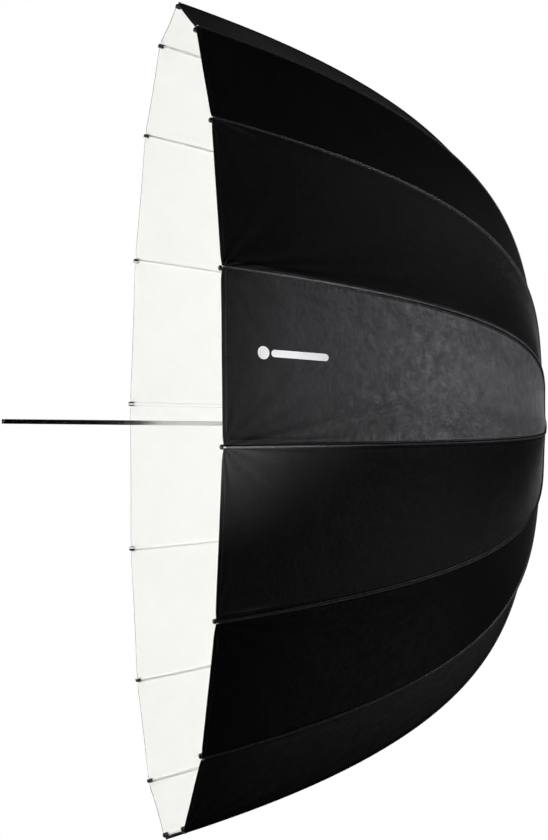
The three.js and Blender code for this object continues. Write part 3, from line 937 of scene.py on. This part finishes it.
def clip():
    """The stretcher clip: a block on the rod's end with two cheeks, bevelled, with its two rivets."""
    r, drop, long, foot = 2.8, CLIP_DROP / MM, 16.0, 8.0
    outline = [(long, r)] + arc(0, r, math.pi / 2, math.pi, 9) + arc(-drop, r, math.pi, 1.75 * math.pi, 14)
    block = prism("clip_block", outline + [(foot, -r), (long, -r)], 2.6)
    past = r + 1
    gap = prism("clip_gap", [(4.5, past), (-past, past), (-past, -drop - past), (4.5, -drop - past)], 1.6)
    finished(block, 0.3 * MM, gap)
    ax, az = -ELBOW_ALONG
    block.data.transform(Matrix([[ax, 0, -az, ELBOW[0]], [0, 1, 0, 0], [az, 0, ax, ELBOW[1]], [0, 0, 0, 1]]))
    points = [tuple(v.co) for v in block.data.vertices]
    faces = [tuple(f.vertices) for f in block.data.polygons]
    bpy.data.objects.remove(block)
    return [(points, faces, 0), (*rivet(ELBOW), 1), (*rivet(CLIP_PIVOT), 1)]


def template(name, parts, looks):
    """The mesh of a fitting at angle 0, which each rib gets a turned copy of."""
    points, faces, index = gathered(parts)
    mesh = new_mesh(name, points, faces, [MATERIALS[look] for look in looks], index)
    outward(mesh)
    mesh.set_sharp_from_angle(angle=SHARP)
    return mesh


ROD_LOOKS = ("rib_fibre", "cast_zinc", "thread_white")
PIECES = {  # kind: its parts, its looks, and the body that it rides on, whose node it replaces
    "rod_inner": (inner_rod(), ROD_LOOKS, "rib_inner"),
    "clip": (clip(), ("cast_zinc", "steel_wire"), "rib_inner"),
    "rod_outer": (outer_rod(), ROD_LOOKS, "rib_outer"),
    "tip_cap": (tip(), ("black_plastic", "thread_white"), "rib_outer"),
    "strut": (stretcher(), ("steel_wire",), "stretcher"),
}
TEMPLATES = {kind: template(kind, parts, looks) for kind, (parts, looks, _) in PIECES.items()}
for rib in range(RIBS):
    number = f"{rib + 1:02d}"
    for kind, (_, looks, body) in PIECES.items():
        mesh = TEMPLATES[kind].copy()
        mesh.transform(Matrix.Rotation(rib_angle(rib), 4, "X"))
        ride(new_object(f"{kind}_{number}", mesh), f"{body}_{number}", looks[0], f"{body}_{number}")

# ---------------------------------------------------------------- hubs, rings, shaft, sleeve, cap and plug


def box(low, high):
    """Points and faces of a box between two corners."""
    faces = [(0, 1, 3, 2), (4, 6, 7, 5), (0, 4, 5, 1), (2, 3, 7, 6), (0, 2, 6, 4), (1, 5, 7, 3)]
    return np.array(list(product(*zip(low, high)))), faces


def hub_slots(x):
    """Sixteen radial boxes that cut a hub's slots."""
    long, wide, inner, outer = 5.5 * MM, 1.6 * MM, 13.5 * MM, 26 * MM
    points, faces = box((x - long, -wide, inner), (x + long, wide, outer))
    points, faces, _ = gathered([(turned(points, rib), faces, 0) for rib in range(RIBS)])
    return solid("slots", points, faces, [MATERIALS["cast_zinc"]])


def turned_piece(name, outline, slot, segments, bevel, body, node, cutter=None):
    """A hard piece turned round the shaft's axis, from (x, radius) corners in millimetres."""
    piece = lathe(name, np.array(outline) * MM, [MATERIALS[slot]], segments)
    finished(piece, bevel * MM, cutter)
    ride(piece, body, slot, node)


def flange(x):
    """The rim of a hub, whose groove the hinge wire lies in."""
    return [(x - 4.6, 8), (x - 3.9, 8.8), (x - 3.5, 10), (x - 3.5, 21.5), (x - 1.2, 21.5), (x - 1.2, 16.7),
            (x + 1.2, 16.7), (x + 1.2, 21.5)]


def hinge_ring(name, x, body, node):
    """The closed wire that the eyes turn on."""
    section = np.arange(10) * 2 * math.pi / 10
    outline = np.stack([x + 0.8 * MM * np.sin(section), PIVOT_RADIUS + 0.8 * MM * np.cos(section)], 1)
    ride(lathe(name, outline, [MATERIALS["steel_wire"]], 128), body, "steel_wire", node)


# these outlines and their values are in millimetres
BORE = 3.7
HUB_BODY = 8
crown_x = CROWN_PIVOT[0] / MM
crown_front = 757.9
turned_piece("crown_spider", [
    (crown_front, BORE), (crown_x - 17.5, BORE), (crown_x - 17.5, 7.6), (crown_x - 17.1, HUB_BODY),
    *flange(crown_x), (crown_x + 3, 21.5), (crown_x + 3, 13.5), (crown_front, 12.5),
], "cast_zinc", 96, 0.22, "root", "crown_hub", hub_slots(CROWN_PIVOT[0]))

runner_x = RUNNER_PIVOT[0] / MM
shoulder = runner_x - 12.5  # where the sleeve stops
spigot_end, sleeve_from = shoulder - 14, shoulder - 30
turned_piece("runner_spider", [
    (runner_x + 3.5, BORE), (spigot_end, BORE), (spigot_end, 5.6), (shoulder, 5.6), (shoulder, HUB_BODY),
    *flange(runner_x), (runner_x + 3.5, 21.5),
], "cast_zinc", 96, 0.22, "runner", "runner_hub", hub_slots(RUNNER_PIVOT[0]))

hinge_ring("crown_wire", CROWN_PIVOT[0], "root", "crown_hinge_ring")
hinge_ring("runner_wire", RUNNER_PIVOT[0], "runner", "runner_hinge_ring")

grips = []
for k in range(9):
    at = sleeve_from + 3.4 + k * 2.6
    grips += [(at - 0.75, HUB_BODY), (at - 0.4, 7.45), (at + 0.4, 7.45), (at + 0.75, HUB_BODY)]
turned_piece("runner_grip", [
    (spigot_end - 0.3, 3.8), (sleeve_from, 3.8), (sleeve_from, 6.9), (sleeve_from + 0.35, 7.6),
    (sleeve_from + 1, HUB_BODY), *grips, (shoulder - 0.7, HUB_BODY), (shoulder - 0.3, 7.7),
    (shoulder - 0.3, 5.9), (spigot_end - 0.3, 5.9),
], "black_plastic", 72, 0.12, "runner", "runner_sleeve")

SHAFT_RADIUS = 3.5
catch_from, catch_to = sleeve_from - 38.5, sleeve_from - 0.5
slot_box = box(np.array([catch_from - 4, -0.9, 0]) * MM, np.array([catch_to + 2, 0.9, 7]) * MM)
catch_slot = solid("slot", *slot_box, [MATERIALS["shaft_steel"]])
turned_piece("shaft", [
    (-56.7, 2.5), (-56.7, 3.3), (-56.5, SHAFT_RADIUS), (crown_x + 3, SHAFT_RADIUS), (crown_x + 3, 2.5),
], "shaft_steel", 64, 0.1, "root", "shaft_tube", catch_slot)

under = 759.7  # the cap's face on the cloth
turned_piece("cap", [
    (under - 15, 0), (under - 15, 2.2), (under, 2.2), (under, 13.6), (under + 0.3, 14), (under + 0.9, 14),
    (under + 1.44, 13.4), (under + 2.2, 12.2), (under + 3.06, 9), (under + 3.35, 6.2), (under + 3.2, 5.6),
    (under + 2.9, 5.3), (under + 2.9, 4.9), (under + 3.3, 4.5), (under + 3.6, 3.6), (under + 3.6, 0),
], "cap_grey", 72, 0.12, "root", "crown_cap")
turned_piece("end_plug", [
    (-60, 0), (-60, 2.4), (-59.8, 2.9), (-59.4, 3.3), (-58.9, SHAFT_RADIUS), (-57.3, SHAFT_RADIUS),
    (-57.05, 3.35), (-57, 2.2), (-43, 2.2), (-43, 0),
], "black_plastic", 48, 0.08, "root", "shaft_end_plug")

for node in ("catch_spring", "catch_pin", "crown_pin"):
    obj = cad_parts[node]
    obj.data.materials.clear()
    obj.data.materials.append(MATERIALS["steel_wire"])
    add_bevel(obj, 0.12 * MM, 45)

# ---------------------------------------------------------------- the printed mark, generic: a disc and a bar

MARK_RIB = 3  # rib 04, above the facing gore
MARK_S = LENGTH - 62 * MM  # of the disc's middle
MARK_OFF_MIDDLE = 9.5 * MM


def mark():
    """A plain disc and a plain bar in white ink, on the outside of one gore."""
    def strip(x, half):
        """A shape whose half width at each x is given, laid on the cloth along the gore."""
        across = 7
        s = MARK_S - np.repeat(x[:, None], across, 1)
        side = half[:, None] * np.linspace(-1, 1, across)
        points, normals, *_ = cloth(MARK_RIB, s, half_width(s) - MARK_OFF_MIDDLE - side)
        ink = 0.12 * MM
        return (points + normals * ink).reshape(-1, 3), grid_faces(len(x), across), 0

    radius, half, start, stop, steps = 9 * MM, 5 * MM, 17 * MM, 96 * MM, 24
    turn = np.linspace(0.02, math.pi - 0.02, 33)
    disc = strip(-radius * np.cos(turn), radius * np.sin(turn))
    end = half * np.cos(np.linspace(math.pi - 0.02, math.pi / 2, 9))[:-1]
    round_half = np.sqrt(half ** 2 - end ** 2)
    x = np.concatenate([start + end, np.linspace(start, stop, steps), stop - end[::-1]])
    bar = strip(x, np.concatenate([round_half, np.full(steps, half), round_half[::-1]]))
    points, faces, index = gathered([disc, bar])
    return new_mesh("print_mark", points, faces, [MATERIALS["print_white"]], index)


printed = ride(new_object("print_mark", mark()), f"rib_outer_{MARK_RIB + 1:02d}", "lining_white")
pleat(printed)

# ---------------------------------------------------------------- stage and light


def backdrop():
    """A pale floor and a pale wall, which the camera sees and which light nothing."""
    pale = bpy.data.materials.new("pale")
    n = Nodes(pale)
    glow = n("ShaderNodeEmission", {"Color": (1, 1, 1, 1), "Strength": 1.0})
    n("ShaderNodeOutputMaterial", {"Surface": glow.outputs[0]})
    sides, radius, floor_at, low, high = 64, 14, -0.78, -3, 14
    angle = np.arange(sides) * 2 * math.pi / sides
    ring = np.stack([radius * np.cos(angle), radius * np.sin(angle), 0 * angle], 1)
    floor = new_mesh("floor", ring + (0, 0, floor_at), [range(sides)], [pale])
    wall_faces = ring_faces(2, sides, closed=False) + [range(sides, 2 * sides)]
    wall = new_mesh("backdrop", np.concatenate([ring + (0, 0, low), ring + (0, 0, high)]), wall_faces, [pale])
    for mesh in (floor, wall):
        obj = new_object(mesh.name, mesh)
        obj.visible_diffuse = obj.visible_glossy = obj.visible_transmission = obj.visible_shadow = False


SOFT_WINDOWS = [  # where each window is seen from the origin, and how bright it is
    ((0.74, -0.12, 0.66), 0.12),
    ((0.845, 0.12, 0.52), 0.34),
    ((0.58, 0.53, 0.62), 0.04),
    ((0.90, -0.29, -0.32), 0.60),
    ((0.757, 0.133, -0.64), 0.27),
    ((0.52, 0.71, -0.47), 0.05),
]
WINDOW_FADE = 0.058  # squared distance from a window's middle at which it ends, on a sphere of radius 1


def set_world():
    """A dark room with one long strip of light to the right, a few dim windows and a dim far wall."""
    world = bpy.data.worlds.new("room")
    bpy.context.scene.world = world
    n = Nodes(world)
    place = n("ShaderNodeTexCoord").outputs["Generated"]
    x, y, z = n("ShaderNodeSeparateXYZ", {0: place}).outputs
    lean = n.shares(y, 0.14, z, 0.99)  # height over a plane tipped by 8 degrees, which the strip follows
    band = n.times(n.ramp(lean, 0.06, 0.12), n.ramp(lean, 0.23, 0.17))
    band = n.times(band, n.ramp(x, 0.05, 0.25))
    near = n.times(n.ramp(y, -0.45, -0.33, 0, 20), n.ramp(y, -0.1, -0.2))
    far = n.times(n.ramp(y, 0.1, 0.2, 0, 4.6), n.ramp(y, 0.5, 0.4))
    total = n.times(band, n.plus(near, far))
    thin = n.times(n.ramp(lean, 0.09, 0.12), n.ramp(lean, 0.19, 0.16))
    total = n.plus(total, n.times(n.ramp(y, 0.5, 0.6, 0, 1.2), thin))
    slope = n.ramp(n.math("ABSOLUTE", z), 0.06, 0.2, 0.2, 1)
    total = n.plus(total, n.times(n.ramp(y, 0.6, 0.8, 0.002, 0.05), slope))
    for centre, strength in SOFT_WINDOWS:
        gap = n("ShaderNodeVectorMath", {0: place, 1: centre}, operation="DISTANCE").outputs["Value"]
        total = n.plus(total, n.ramp(n.math("POWER", gap, 2.0), 0, WINDOW_FADE, strength, 0))
    room = n("ShaderNodeBackground", {"Color": (0.97, 0.97, 1.02, 1), "Strength": total})
    n("ShaderNodeOutputWorld", {"Surface": room.outputs[0]})


def lamp(name, kind, at, towards, **settings):
    data = bpy.data.lights.new(name, kind)
    for setting, value in settings.items():
        setattr(data, setting, value)
    made = new_object(name, data)
    made.location = at
    made.rotation_mode = "QUATERNION"
    made.rotation_quaternion = (Vector(towards) - Vector(at)).to_track_quat("-Z", "Y")
    return made


backdrop()
set_world()
bowl = lamp("into_the_bowl", "AREA", (-1.5, 0, 0), (0.6, 0, 0), shape="DISK", size=1.4, energy=50,
            color=(1.0, 0.999, 0.992))
bowl.visible_camera = False
lamp("on_the_mark", "SPOT", (-0.92, -3.36, -2.5), (0.285, -0.565, 0.085), energy=1750,
     spot_size=math.radians(3.3), spot_blend=0.9, shadow_soft_size=0.1)
